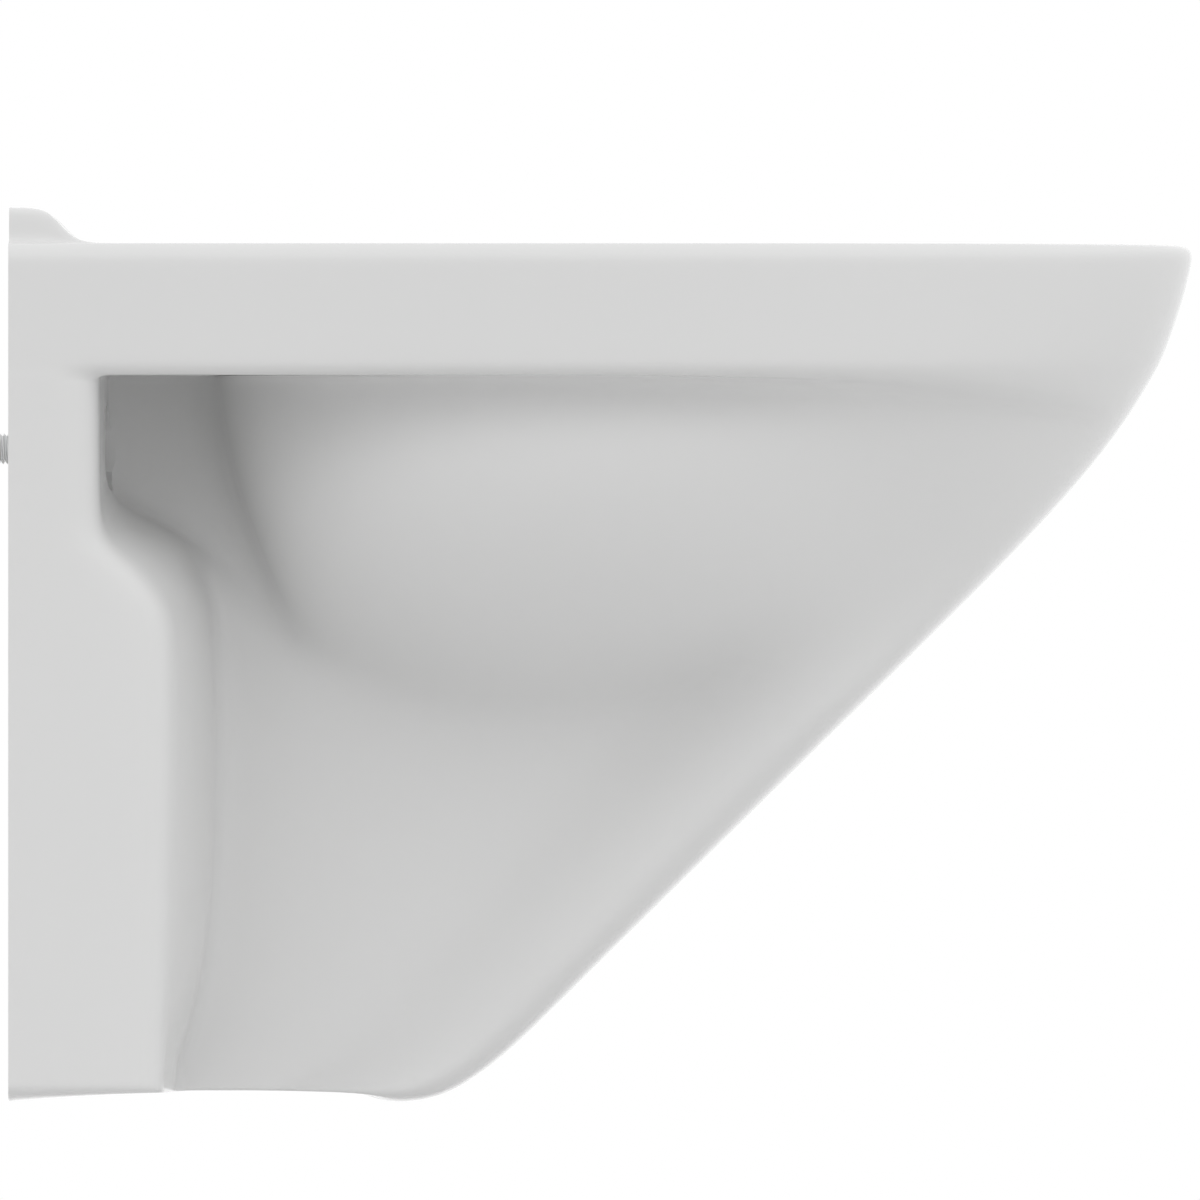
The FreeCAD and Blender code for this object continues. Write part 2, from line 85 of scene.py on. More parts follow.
def ball(bm, radius, at):
    place = Matrix.Translation(Vector(at) * mm)
    bmesh.ops.create_uvsphere(bm, u_segments=40, v_segments=20, radius=radius * mm, matrix=place)


def turned(bm, outline, at, axis, steps=48, closed=True):  # outline: (along the axis, radius)
    at, axis = Vector(at), Vector(axis)
    side = axis.orthogonal().normalized()
    verts = [bm.verts.new((at + axis * along + side * radius) * mm) for along, radius in outline]
    pairs = list(zip(verts, verts[1:]))
    if closed:
        pairs.append((verts[-1], verts[0]))
    edges = [bm.edges.new(pair) for pair in pairs]
    bmesh.ops.spin(bm, geom=verts + edges, cent=at * mm, axis=axis, dvec=(0, 0, 0), angle=2 * math.pi,
                   steps=steps, use_merge=True)
    bmesh.ops.remove_doubles(bm, verts=bm.verts[:], dist=0.000002)
    bmesh.ops.recalc_face_normals(bm, faces=bm.faces[:])


def sidePrism(bm, outline, half):  # outline: (x, z) points seen from the side
    verts = [bm.verts.new(Vector((x, -half, z)) * mm) for x, z in outline]
    face = bm.faces.new(verts)
    grown = bmesh.ops.extrude_face_region(bm, geom=[face])["geom"]
    moved = [g for g in grown if isinstance(g, bmesh.types.BMVert)]
    bmesh.ops.translate(bm, vec=(0, 2 * half * mm, 0), verts=moved)
    bmesh.ops.recalc_face_normals(bm, faces=bm.faces[:])


def mirrorHalf(bm):  # adds the other half, joined along the middle
    bmesh.ops.mirror(bm, geom=allOf(bm), matrix=Matrix(), merge_dist=seamNear, axis="Y")
    bmesh.ops.remove_doubles(bm, verts=bm.verts[:], dist=seamNear)


def newPiece(name, bm, materials, smoothAngle=35):
    for e in bm.edges:
        e.smooth = len(e.link_faces) != 2 or e.calc_face_angle(0) < math.radians(smoothAngle)
    for f in bm.faces:
        f.smooth = True
    mesh = bpy.data.meshes.new(name)
    bm.to_mesh(mesh)
    bm.free()
    piece = bpy.data.objects.new(name, mesh)
    scene.collection.objects.link(piece)
    for material in materials:
        mesh.materials.append(material)
    return piece


def newCutter(shape, materials, slot=0):
    bm = bmesh.new()
    shape(bm)
    for f in bm.faces:
        f.material_index = slot
    return newPiece("cutter", bm, materials)


def rodCutter(radius, start, end, materials, slot=0, sides=48):
    return newCutter(lambda bm: post(bm, radius, start, end, sides), materials, slot)


def ballCutter(radius, at, materials, slot=0):
    return newCutter(lambda bm: ball(bm, radius, at), materials, slot)


def carve(piece, cutters, operation="DIFFERENCE"):
    for cutter in cutters:
        step = piece.modifiers.new("carve", "BOOLEAN")
        step.object = cutter
        step.operation = operation
        step.solver = "MANIFOLD"


def bake(piece, cutters=()):
    shown = piece.evaluated_get(bpy.context.evaluated_depsgraph_get())
    mesh = bpy.data.meshes.new_from_object(shown)
    piece.modifiers.clear()
    piece.data = mesh
    for cutter in cutters:
        bpy.data.objects.remove(cutter)
    return mesh


# finishes: one shared group gives mottled colour, uneven gloss and a height for the bump
mottleInputs = {"Base": "NodeSocketColor", "Shade": "NodeSocketColor", "Scale": "NodeSocketFloat",
                "Grain": "NodeSocketFloat", "Rough": "NodeSocketFloat", "Spread": "NodeSocketFloat"}
mottleOutputs = {"Color": "NodeSocketColor", "Roughness": "NodeSocketFloat", "Height": "NodeSocketFloat"}


def mathNode(nodes, operation, second=None, kind="ShaderNodeMath"):
    node = nodes.new(kind)
    node.operation = operation
    if second is not None:
        node.inputs[1].default_value = second
    return node


def makeMottleGroup():
    group = bpy.data.node_groups.new("firedMottle", "ShaderNodeTree")
    for way, sockets in (("INPUT", mottleInputs), ("OUTPUT", mottleOutputs)):
        for name, kind in sockets.items():
            group.interface.new_socket(name=name, in_out=way, socket_type=kind)
    nodes, links = group.nodes, group.links
    given = nodes.new("NodeGroupInput")
    made = nodes.new("NodeGroupOutput")
    place = nodes.new("ShaderNodeTexCoord")
    cloud = nodes.new("ShaderNodeTexNoise")  # broad patches
    cloud.inputs["Detail"].default_value = 3
    grain = nodes.new("ShaderNodeTexNoise")  # fine grain
    grain.inputs["Detail"].default_value = 5
    for noise, size in ((cloud, "Scale"), (grain, "Grain")):
        links.new(place.outputs["Object"], noise.inputs["Vector"])
        links.new(given.outputs[size], noise.inputs["Scale"])
    mix = nodes.new("ShaderNodeMix")
    mix.data_type = "RGBA"
    links.new(cloud.outputs["Fac"], mix.inputs["Factor"])
    links.new(given.outputs["Base"], mix.inputs["A"])
    links.new(given.outputs["Shade"], mix.inputs["B"])
    links.new(mix.outputs["Result"], made.inputs["Color"])
    swing = mathNode(nodes, "SUBTRACT", 0.5)  # the noise lies round a half
    links.new(grain.outputs["Fac"], swing.inputs[0])
    rough = mathNode(nodes, "MULTIPLY_ADD")
    links.new(swing.outputs[0], rough.inputs[0])
    links.new(given.outputs["Spread"], rough.inputs[1])
    links.new(given.outputs["Rough"], rough.inputs[2])
    links.new(rough.outputs[0], made.inputs["Roughness"])
    height = mathNode(nodes, "ADD")
    links.new(grain.outputs["Fac"], height.inputs[0])
    links.new(cloud.outputs["Fac"], height.inputs[1])
    links.new(height.outputs[0], made.inputs["Height"])
    return group


mottleGroup = makeMottleGroup()
finishes = {
    "glazedChina": {"base": (0.702, 0.702, 0.699), "shade": (0.689, 0.690, 0.689), "scale": 7, "grain": 60,
                    "rough": 0.09, "spread": 0.05, "bump": 0.012, "metal": 0, "ior": 1.12},
    "biscuitChina": {"base": (0.70, 0.68, 0.64), "shade": (0.62, 0.60, 0.56), "scale": 14, "grain": 420,
                     "rough": 0.75, "spread": 0.3, "bump": 0.2, "metal": 0, "ior": 1.45},
    "zincSteel": {"base": (0.80, 0.81, 0.82), "shade": (0.72, 0.73, 0.74), "scale": 90, "grain": 700,
                  "rough": 0.34, "spread": 0.25, "bump": 0.05, "metal": 1, "ior": 1.5},
    "nylonBush": {"base": (0.72, 0.71, 0.67), "shade": (0.66, 0.65, 0.61), "scale": 40, "grain": 900,
                  "rough": 0.45, "spread": 0.2, "bump": 0.06, "metal": 0, "ior": 1.5},
    "capPlastic": {"base": (0.74, 0.74, 0.735), "shade": (0.71, 0.71, 0.705), "scale": 40, "grain": 1400,
                   "rough": 0.22, "spread": 0.12, "bump": 0.03, "metal": 0, "ior": 1.49},
    "sealRubber": {"base": (0.030, 0.030, 0.032), "shade": (0.055, 0.054, 0.053), "scale": 60, "grain": 1100,
                   "rough": 0.62, "spread": 0.3, "bump": 0.12, "metal": 0, "ior": 1.52},
}


def makeFinish(name):
    values = finishes[name]
    material = bpy.data.materials.new(name)
    material.use_nodes = True
    nodes, links = material.node_tree.nodes, material.node_tree.links
    shader = nodes["Principled BSDF"]
    shader.inputs["Metallic"].default_value = values["metal"]
    shader.inputs["IOR"].default_value = values["ior"]
    mottle = nodes.new("ShaderNodeGroup")
    mottle.node_tree = mottleGroup
    for socket in ("Base", "Shade"):
        mottle.inputs[socket].default_value = (*values[socket.lower()], 1)
    for socket in ("Scale", "Grain", "Rough", "Spread"):
        mottle.inputs[socket].default_value = values[socket.lower()]
    bump = nodes.new("ShaderNodeBump")
    bump.inputs["Strength"].default_value = values["bump"]
    bump.inputs["Distance"].default_value = mm
    links.new(mottle.outputs["Color"], shader.inputs["Base Color"])
    links.new(mottle.outputs["Roughness"], shader.inputs["Roughness"])
    links.new(mottle.outputs["Height"], bump.inputs["Height"])
    links.new(bump.outputs["Normal"], shader.inputs["Normal"])
    return material


finish = {name: makeFinish(name) for name in finishes}
print("finishes:", len(finish))


# ceramic pan, sizes in mm
panLow, panHigh = inMm(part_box("ceramic_pan"))
footDip = 1.2  # the front of the foot dips this far under the base
pan = {
    "halfWidth": panHigh.y,
    "depth": 480.0,
    "rimTop": mounts["seat_holes"]["pos_m"][2] / mm,
    "base": panLow.z + footDip,
    "rimBand": 54.0,
    "frontLean": 11.5, "bowRadius": 200.0, "frontSlope": 45.0, "topDrop": 6.0,
    "flangeTop": 36.5, "flangeLow": 66.3, "flangeFoot": 62.5, "flangeEdge": 5.5,
    "bowlHalf": 168.0, "neckHalf": 161.0, "ductHalf": 60.0, "webHalf": 60.0, "noseHalf": 91.0,
    "bowlBack": 85.0, "noseRun": 70.0,
    "ledgeHeight": panHigh.z - mounts["seat_holes"]["pos_m"][2] / mm,
    "openingMiddle": 281.0, "openingLength": 306.0, "openingWidth": 244.0,
    "subdivision": 2, "sharpAngle": 62.0, "wallNear": 0.5,
}
shelf = pan["rimTop"] - pan["rimBand"]
lean = math.radians(pan["frontLean"])
slope = math.radians(pan["frontSlope"])
bowX = pan["depth"] - pan["bowRadius"] * math.cos(lean)
bowZ = pan["rimTop"] - pan["topDrop"] + pan["bowRadius"] * math.sin(lean)
slopeX = bowX + pan["bowRadius"] * math.sin(slope)
slopeZ = bowZ - pan["bowRadius"] * math.cos(slope)

# how far the front stands out from its plain arc and slope, by height
frontSwell = [
    (90, 2.6), (68, 2.0), (60, 2.4), (38, 2.6), (24, 1.5), (0, -0.2), (-20, 0.2), (-46, 1.5),
    (-90, 1.2), (-127, 0.5), (-168, -0.2), (-208, -0.8), (-250, -1.0), (-270, -0.6),
]
# the front's half width, by height
frontHalves = [
    (32, 180), (24, 179), (15, 177.5), (6, 175), (-6, 170.5),
    (-26, 161), (-50, 146), (-74, 127), (-95, 108),
]


def between(table, z):
    for (z1, v1), (z0, v0) in zip(table, table[1:]):
        if z >= z0:
            return v0 + (v1 - v0) * min(1, (z - z0) / (z1 - z0))
    return table[-1][1]


def frontX(z):
    swell = between(frontSwell, z)
    if z < slopeZ:
        return slopeX + (z - slopeZ) / math.tan(slope) + swell
    drop = min(z, pan["rimTop"] - pan["topDrop"]) - bowZ
    return bowX + math.sqrt(pan["bowRadius"] ** 2 - drop ** 2) + swell


def frontHalf(z):
    return between(frontHalves, z)


# each row of the pan's cage runs from the wall round the side to the front's middle:
# four columns on the flange, five on the recess's back strip, four on the side, six round the front
stripFrom, sideFrom, frontFrom = 4, 9, 13
sideX = [0, 12, 25, 35.2, 37.4, 49, 63, 82, 108, 138, 170, 212, 262]
frontShare = [(0.28, 0.985), (0.55, 0.90), (0.78, 0.735), (0.93, 0.50), (1.0, 0.24), (1.0, 0.0)]
frontBlend = [0.1, 0.3, 0.6, 0.85, 1.0, 1.0]
neckFade = [0.05, 0.3, 0.7, 1.0, 1.0, 1.0]
bellyShare = [0.90, 0.93, 0.97, 1.0, 0.97, 0.88]
ridgeRise = [0, 0, 0, 7, 16, 26]
cornerShare = [0.2, 0.48, 0.76, 0.96, 1.0]
# the strip's columns: share of its run along x, share of the way out to the flange's side
stripShares = ((0.17, 0.86), (0.41, 0.62), (0.63, 0.35), (0.80, 0.10), (0.95, 0.0))
softShares = ((0.17, 0.86), (0.41, 0.64), (0.64, 0.42), (0.86, 0.21), (1.12, 0.05))


def frontColumns(x0, x1, half, backHalf=None):
    backHalf = half if backHalf is None else backHalf
    columns = []
    for (fx, fy), fade in zip(frontShare, neckFade):
        h = backHalf + (half - backHalf) * fade
        columns.append((x0 + fx * (x1 - x0), fy * h))
    return columns


def lift(plan, zFlange, zMid, zFront, belly=0, ridge=0, rise=None):
    row = []
    for i, (x, y) in enumerate(plan):
        z = zFlange if i < stripFrom else zMid
        if rise is not None and stripFrom <= i < sideFrom:
            z = zFlange + rise * cornerShare[i - stripFrom]
        if belly and sideFrom <= i < sideFrom + len(bellyShare):
            share = 1 - belly * (1 - bellyShare[i - sideFrom])
            z = shelf - (shelf - zMid) * share + ridge * ridgeRise[i - sideFrom]
        if i >= frontFrom:
            z = z + (zFront - z) * frontBlend[i - frontFrom]
        row.append(Vector((x, y, z)))
    return row


def rimRow(z, inset, zFront=None, frontInset=0):
    zFront = z if zFront is None else zFront
    half = pan["halfWidth"] - inset
    plan = [(x, half) for x in sideX]
    plan += frontColumns(sideX[-1], frontX(zFront) - frontInset, half)
    return lift(plan, z, z, zFront)


def shelfRow(inset, zFlange, zMid, zFront):
    w = pan["halfWidth"]
    plan = [(0, w), (12, w), (26, w), (36, w - pan["flangeEdge"])]
    plan += [(x, w - inset) for x in sideX[stripFrom:]]
    plan += frontColumns(sideX[-1], frontX(zFront), frontHalf(zFront), w - inset)
    return lift(plan, zFlange, zMid, zFront)


def wallColumns(flange, strip, inner, shares=stripShares):
    w, edge = pan["halfWidth"], pan["flangeEdge"]
    columns = [(0, w), (12, w), (flange - 9, w), (flange, w - edge)]
    for along, out in shares:
        columns.append((flange + strip * along, inner + (w - edge - inner) * out))
    return columns


def noseColumns(xf, half):
    return [(xf - 40, half - 7), (xf - 13, half), (xf + 0.6, half * 0.82), (xf, 0)]


def bowlRow(back, half, flange, strip, rise, square, zFlange, zMid, zFront, ridge=0, full=1):
    xf, duct = frontX(zFront), pan["ductHalf"]
    plan = wallColumns(flange, strip, duct, softShares)
    for step, out in ((-2, 0), (-0.5, 0.36 * full), (20, 0.7 * full), (74, 0.96)):
        plan.append((back + step, duct + (half - duct) * out))
    front = frontColumns(back + 120, xf, frontHalf(zFront), half)
    for i, (x, y) in enumerate(noseColumns(xf, pan["noseHalf"])):
        x0, y0 = front[i + 2]
        front[i + 2] = (x0 + (x - x0) * square, y0 + (y - y0) * square)
    return lift(plan + front, zFlange, zMid, zFront, 1, ridge, rise)


def webRow(flange, strip, rise, half, noseHalf, zFlange, zMid, zFront, belly=0, pull=0):
    xf = frontX(zFront) - pull
    plan = wallColumns(flange, strip, half)
    x0 = flange + strip * 1.9
    x1 = xf - pan["noseRun"]
    for i in range(6):
        plan.append((x0 + (x1 - x0) * i / 5, half))
    plan += noseColumns(xf, noseHalf)
    return lift(plan, zFlange, zMid, zFront, belly, 0, rise)


def footRows():
    w, f, h, base = pan["halfWidth"], pan["flangeFoot"], pan["webHalf"], pan["base"]
    foot = [(0, w - 12), (12, w - 12), (f - 13, w - 12), (f - 2, w - 12)]
    foot += [(f, 150), (f + 1, 122), (f + 2, 96), (f + 3, 76), (f + 5, h + 3)]
    foot += [(f + 9 + 11 * i, h - 2) for i in range(6)]
    foot += [(144, h + 9), (153, h + 11), (161, 50), (162, 0)]
    rise = [0, 1.2, 3.6] + [3.9] * 12 + [3.6, -0.4, -footDip, -footDip]
    rows = []
    for shrink, pull in ((1, 1), (0.5, 0.98), (0, 0.96)):
        rows.append([Vector((x * pull, y * shrink, base + r)) for (x, y), r in zip(foot, rise)])
    return rows


def outsideRows():
    h, ft, fl, ff = pan["webHalf"], pan["flangeTop"], pan["flangeLow"], pan["flangeFoot"]
    top, base, back = pan["rimTop"], pan["base"], pan["bowlBack"]
    neck, bowl, nose = pan["neckHalf"], pan["bowlHalf"], pan["noseHalf"]
    rows = [
        rimRow(top, 10, top, 9),
        rimRow(top, 4.5, top, 2),
        rimRow(top - 5.2, 0.3, top - 4),
        rimRow(top - 8.5, 0),
        rimRow(top - 23, 0),
        rimRow(shelf + 7.5, 0, shelf + 10),
        rimRow(shelf + 3.4, 0.2, shelf + 4),
        shelfRow(4.4, shelf - 0.2, shelf, shelf - 4.4),
        shelfRow(13, shelf - 2, shelf + 0.6, shelf - 14),
        bowlRow(back - 5, neck + 5, ft, 3, None, 0, 25, shelf + 2, 9, 0, 0.79),
        bowlRow(back, neck, ft, 3, None, 0, 18, shelf - 0.5, 4, 0, 0.77),
        bowlRow(back + 1, neck, ft, 3, 12, 0, -6, 17, -6, 0.25, 0.79),
        bowlRow(back + 6, bowl, ft, 3, 15, 0.3, -31, -14, -26, 1, 0.88),
        bowlRow(back + 17, bowl * 0.9, ft + 3.2, 10, 14, 0.55, -40, -49, -50, 0.5),
        bowlRow(back + 30, bowl * 0.7, 51, 20, 14, 0.8, -49, -81, -74, 0.2),
        webRow(fl - 3.5, 20, 11, h + 8, nose, -64, -104, -95, 1),
        webRow(fl, 21, 3, h + 2, nose, -80, -117, -114, 0.5),
        webRow(fl - 1, 22, 0, h, 84, -150, -160, -160),
        webRow(ff + 1.5, 20, 0, h, 80, base + 60, base + 60, base + 65),
        webRow(ff + 0.5, 12, 0, h, 78, base + 32, base + 32, base + 42),
        webRow(ff, 6, 0, h, 77, base + 16, base + 16, base + 25),
        webRow(ff, 5, 0, h, 78, base + 8, base + 8.5, base + 12, 0, 2),
        webRow(ff, 5, -0.8, h + 1, 79, base + 3.6, base + 3.4, base + 1.1, 0, 8),
    ]
    return rows + footRows()


# inside the pan: the rows go round the opening, from the back's middle to the front's middle
inside = {
    "ledgeEnds": [(0, 1.0), (60, 1.0), (112, 1.0), (138, 1.0), (147, 1.0), (149.6, 0.9), (150.4, 0.45),
                  (151.2, 0.06), (158, 0.0)],
    "deckRows": [(0.05, 10.6, 1.0), (0.10, 17.1, 0.86), (0.16, 24.1, 0.22), (0.23, 32.1, 0.0),
                 (0.40, 55, 0), (0.75, 95, 0)],
    "lipRows": [(9, 83), (0.3, 82.7), (0, 74), (0, 56), (0, 40), (0.3, 34.4), (8, 34), (17, 34)],
    "bowlRows": [(107, 451, 142, 33), (106, 449, 143.5, 24), (109, 434, 145.5, 0), (115, 411, 144.5, -20),
                 (128, 379, 128, -48), (141, 350, 96, -74), (155, 326, 66, -92), (170, 305, 50, -106),
                 (190, 282, 42, -130), (204, 264, 31, -152)],
    "trapRows": [(222, -167, -0.58, -0.81), (207, -188, -0.60, -0.80), (194, -203, -1.0, 0.0),
                 (172, -173, -0.62, 0.78), (140, -133, -0.62, 0.78), (108, -93, -0.62, 0.78)],
    "trapRadius": 30.0,
    "egg": 0.05,  # how much slimmer the front half is
    "evenShare": 0.4, "evenStep": 0.15,  # the columns even out on the way down
}


def eggRow(xBack, xFront, half, z, angles):
    middle, length = (xBack + xFront) / 2, (xFront - xBack) / 2
    row = []
    for t in angles:
        c, s = math.cos(t), math.sin(t)
        row.append(Vector((middle + length * c, half * s * (1 - inside["egg"] * c), z)))
    return row


def lipRow(grow, z, angles):  # the opening's edge, grown outwards
    middle, halfLength = pan["openingMiddle"], pan["openingLength"] / 2
    xBack, xFront = middle - halfLength - grow, middle + halfLength + grow
    return eggRow(xBack, xFront, pan["openingWidth"] / 2 + grow, z, angles)


def deckEdge(rimEdge):
    top = pan["rimTop"]
    edge = [Vector((0, y, top + pan["ledgeHeight"] * share)) for y, share in inside["ledgeEnds"]]
    return edge + rimEdge


def mixed(first, second, share):
    return [a * (1 - share) + b * share for a, b in zip(first, second)]


def insideRows(edge):
    top, wallCount = pan["rimTop"], len(inside["ledgeEnds"])
    seen = [math.atan2(p.y, p.x - pan["openingMiddle"]) for p in edge]
    even = [math.pi * (1 - i / (len(edge) - 1)) for i in range(len(edge))]
    lipAngles = mixed(seen, even, inside["evenShare"])
    mouth = lipRow(inside["lipRows"][0][0], top, lipAngles)
    rows = []
    for share, wallX, ledge in inside["deckRows"]:
        row = []
        for i, (a, b) in enumerate(zip(edge, mouth)):
            p = a.lerp(b, share)
            p.z = top
            if i < wallCount:
                p.x = wallX
                p.z = top + pan["ledgeHeight"] * inside["ledgeEnds"][i][1] * ledge
            row.append(p)
        rows.append(row)
    for grow, z in inside["lipRows"]:
        rows.append(lipRow(grow, z, lipAngles))
    for i, (xBack, xFront, half, z) in enumerate(inside["bowlRows"]):
        angles = mixed(seen, even, min(1, inside["evenShare"] + inside["evenStep"] * i))
        rows.append(eggRow(xBack, xFront, half, z, angles))
    for x, z, dx, dz in inside["trapRows"]:
        row = []
        for t in even:
            c, s = inside["trapRadius"] * math.cos(t), inside["trapRadius"] * math.sin(t)
            row.append(Vector((x - dz * c, s, z + dx * c)))
        rows.append(row)
    return rows


def lastRow(edges):  # the points along a chain of edges, in order
    verts = [edges[0].verts[0], edges[0].verts[1]]
    if len(edges) > 1 and verts[0] in edges[1].verts:
        verts.reverse()
    for e in edges[1:]:
        verts.append(e.other_vert(verts[-1]))
    return verts


def startRow(bm, row):
    verts = [bm.verts.new(p * mm) for p in row]
    return [bm.edges.new(pair) for pair in zip(verts, verts[1:])]


def addRow(bm, edges, row):
    grown = bmesh.ops.extrude_edge_only(bm, edges=edges)["geom"]
    newVerts = [g for g in grown if isinstance(g, bmesh.types.BMVert)]
    ordered = []
    for old in lastRow(edges):
        ordered += [e.other_vert(old) for e in old.link_edges if e.other_vert(old) in newVerts]
    for v, p in zip(ordered, row):
        v.co = p * mm
    return [[e for e in a.link_edges if e.other_vert(a) is b][0] for a, b in zip(ordered, ordered[1:])]


def makePanCage():
    bm = bmesh.new()
    rows = outsideRows()
    edges = startRow(bm, rows[-1])
    for row in reversed(rows[:-1]):
        edges = addRow(bm, edges, row)
    edge = deckEdge(rows[0])
    wallVerts = [bm.verts.new(p * mm) for p in edge[:len(inside["ledgeEnds"])]]
    wallVerts.append(lastRow(edges)[0])
    wallEdges = [bm.edges.new(pair) for pair in zip(wallVerts, wallVerts[1:])]
    edges = wallEdges + edges
    for row in insideRows(edge):
        edges = addRow(bm, edges, row)
    mirrorHalf(bm)
    heel = [v for v in bm.verts if len(v.link_edges) == 2 and not v.is_boundary]
    bmesh.ops.dissolve_verts(bm, verts=heel)
    bmesh.ops.recalc_face_normals(bm, faces=bm.faces[:])
    return bm


# hollow behind the wall flange and in the web, the water ways and the holes
hollow = {
    "flangeWall": 9.0, "webWall": 9.0, "floorWall": 14.0, "bowlWall": 10.0, "top": -42.0, "knee": -86.0,
    "pocketDepth": 27.0, "pocketNear": 117.0, "pocketWidth": 52.0, "pocketLow": -46.0, "pocketHeight": 75.0,
    "hornRadius": mounts["waste_outlet"]["dims"]["r_mm"], "hornDepth": 40.0, "hornBore": 42.0,
    "sleeveRoom": 66.0,
    "outletZ": mounts["waste_outlet"]["pos_m"][2] / mm,
    "trapPath": [(234, -150), (196, -203), (88, -68), (58, -98)], "trapWall": 9.0,
    "trapOut": 30.0, "waterStart": (113, -99),
    "inletZ": mounts["flush_inlet"]["pos_m"][2] / mm, "inletRadius": 27.5, "inletDepth": 36.0,
    "chamber": ((30, -44, -12), (95, 44, 56)),
    "studY": mounts["wall_studs"]["dims"]["spacing_x_mm"] / 2, "studHole": 11.0,
    "wellRadius": 17.5, "wellFoot": 14.0, "wellEnd": 62.0,
    "seatX": mounts["seat_holes"]["pos_m"][0] / mm, "seatY": mounts["seat_holes"]["dims"]["spacing_y_mm"] / 2,
    "seatHole": mounts["seat_holes"]["dims"]["hole_r_mm"], "seatFlare": 2.2,
    "seatRoom": 8.0, "seatDeep": 63.0,
    "flushHoles": 24, "flushHole": 3.0, "flushLow": 27.0, "flushHigh": 46.0,
    "flushOutX": 13.0, "flushOutY": 14.0,
}


def bowlTower(bm):  # the bowl's low end with its wall, which stands in the web's hollow
    grow = hollow["bowlWall"]
    even = [math.pi * (1 - i / 20) for i in range(21)]
    rows = [eggRow(xb - grow, xf + grow, half + grow, z, even) for xb, xf, half, z in inside["bowlRows"][4:]]
    edges = startRow(bm, rows[0])
    for row in rows[1:]:
        edges = addRow(bm, edges, row)
    mirrorHalf(bm)
    bmesh.ops.holes_fill(bm, edges=bm.edges[:])
    bmesh.ops.recalc_face_normals(bm, faces=bm.faces[:])


def hollowCutter(materials):
    low, top, knee = pan["base"] + hollow["floorWall"], hollow["top"], hollow["knee"]
    back = pan["flangeFoot"] - hollow["flangeWall"]
    outletZ = hollow["outletZ"]
    behind = [(-cutPast, low), (back, low), (back, knee), (pan["flangeTop"] - hollow["flangeWall"], top)]
    behind += [(-cutPast, top)]
    web = [(back - 4, low), (frontX(low) - 29, low), (frontX(-114) - 17, -114), (150, -104), (112, -62)]
    web += [(back - 4, knee)]
    behindHalf, webHalf = pan["halfWidth"] - hollow["flangeWall"], pan["webHalf"] - hollow["webWall"]
    piece = newCutter(lambda bm: sidePrism(bm, behind, behindHalf), materials, 1)
    add = [newCutter(lambda bm: sidePrism(bm, web, webHalf), materials, 1)]
    for side in (-1, 1):
        near, far = side * hollow["pocketNear"], side * (hollow["pocketNear"] + hollow["pocketWidth"])
        pocketHigh = hollow["pocketLow"] + hollow["pocketHeight"]
        lowCorner = (-cutPast, min(near, far), hollow["pocketLow"])
        highCorner = (hollow["pocketDepth"], max(near, far), pocketHigh)
        add.append(newCutter(lambda bm: block(bm, lowCorner, highCorner), materials, 1))
    path = inMiddle(hollow["trapPath"] + [(hollow["trapOut"], outletZ)])
    tube = inside["trapRadius"] + hollow["trapWall"]
    keep = []
    for start, end in zip(path, path[1:]):
        keep.append(rodCutter(tube, start, end, materials, 1))
        keep.append(ballCutter(tube, start, materials, 1))
    keep.append(newCutter(bowlTower, materials, 1))
    sleeveEnds = inMiddle([(-cutPast, outletZ), (hollow["hornDepth"], outletZ)])
    sleeve = rodCutter(hollow["sleeveRoom"], *sleeveEnds, materials, 1, 64)
    hornEnd = hollow["hornDepth"] + hollow["trapWall"]  # closes the horn round the trap
    pipeEnds = inMiddle([(-cutPast - 1, outletZ), (hornEnd, outletZ)])
    pipe = rodCutter(hollow["hornRadius"], *pipeEnds, materials, 1, 64)
    carve(piece, add, "UNION")
    carve(piece, keep)
    carve(piece, [sleeve], "UNION")
    carve(piece, [pipe])
    bake(piece, add + keep + [sleeve, pipe])
    return piece


def waterCutters(materials):
    outletZ, inletZ, radius = hollow["outletZ"], hollow["inletZ"], inside["trapRadius"]
    path = inMiddle([hollow["waterStart"]] + hollow["trapPath"][2:] + [(-cutPast, outletZ)])
    cutters = [rodCutter(radius, start, end, materials) for start, end in zip(path, path[1:])]
    cutters += [ballCutter(radius, at, materials) for at in path[1:-1]]
    hornEnds = inMiddle([(-cutPast, outletZ), (hollow["hornDepth"], outletZ)])
    cutters.append(rodCutter(hollow["hornBore"], *hornEnds, materials, 0, 64))
    inletEnds = inMiddle([(-cutPast, inletZ), (hollow["inletDepth"], inletZ)])
    cutters.append(rodCutter(hollow["inletRadius"], *inletEnds, materials, 0, 64))
    cutters.append(newCutter(lambda bm: block(bm, *hollow["chamber"]), materials))
    return cutters


def wells(bm):
    foot, end, hole, well = hollow["wellFoot"], hollow["wellEnd"], hollow["studHole"], hollow["wellRadius"]
    outline = [(-cutPast, 0), (-cutPast, hole), (foot, hole), (foot, well), (end, well), (end, 0)]
    for side in (-1, 1):
        turned(bm, outline, (0, side * hollow["studY"], 0), (1, 0, 0), 64, False)


def seatHoles(bm):
    hole, flare, top = hollow["seatHole"], hollow["seatFlare"], pan["rimTop"]
    above, below = top + hollow["seatRoom"], top - hollow["seatDeep"]
    outline = [(above, 0), (above, hole + flare * 2), (top + 0.3, hole + flare * 1.1)]
    for i in range(1, 6):
        t = math.pi / 2 * i / 5
        outline.append((top - flare * (1 - math.cos(t)), hole + flare * (1 - math.sin(t))))
    outline += [(below, hole), (below, 0)]
    for side in (-1, 1):
        turned(bm, outline, (hollow["seatX"], side * hollow["seatY"], 0), (0, 0, 1), 40, False)


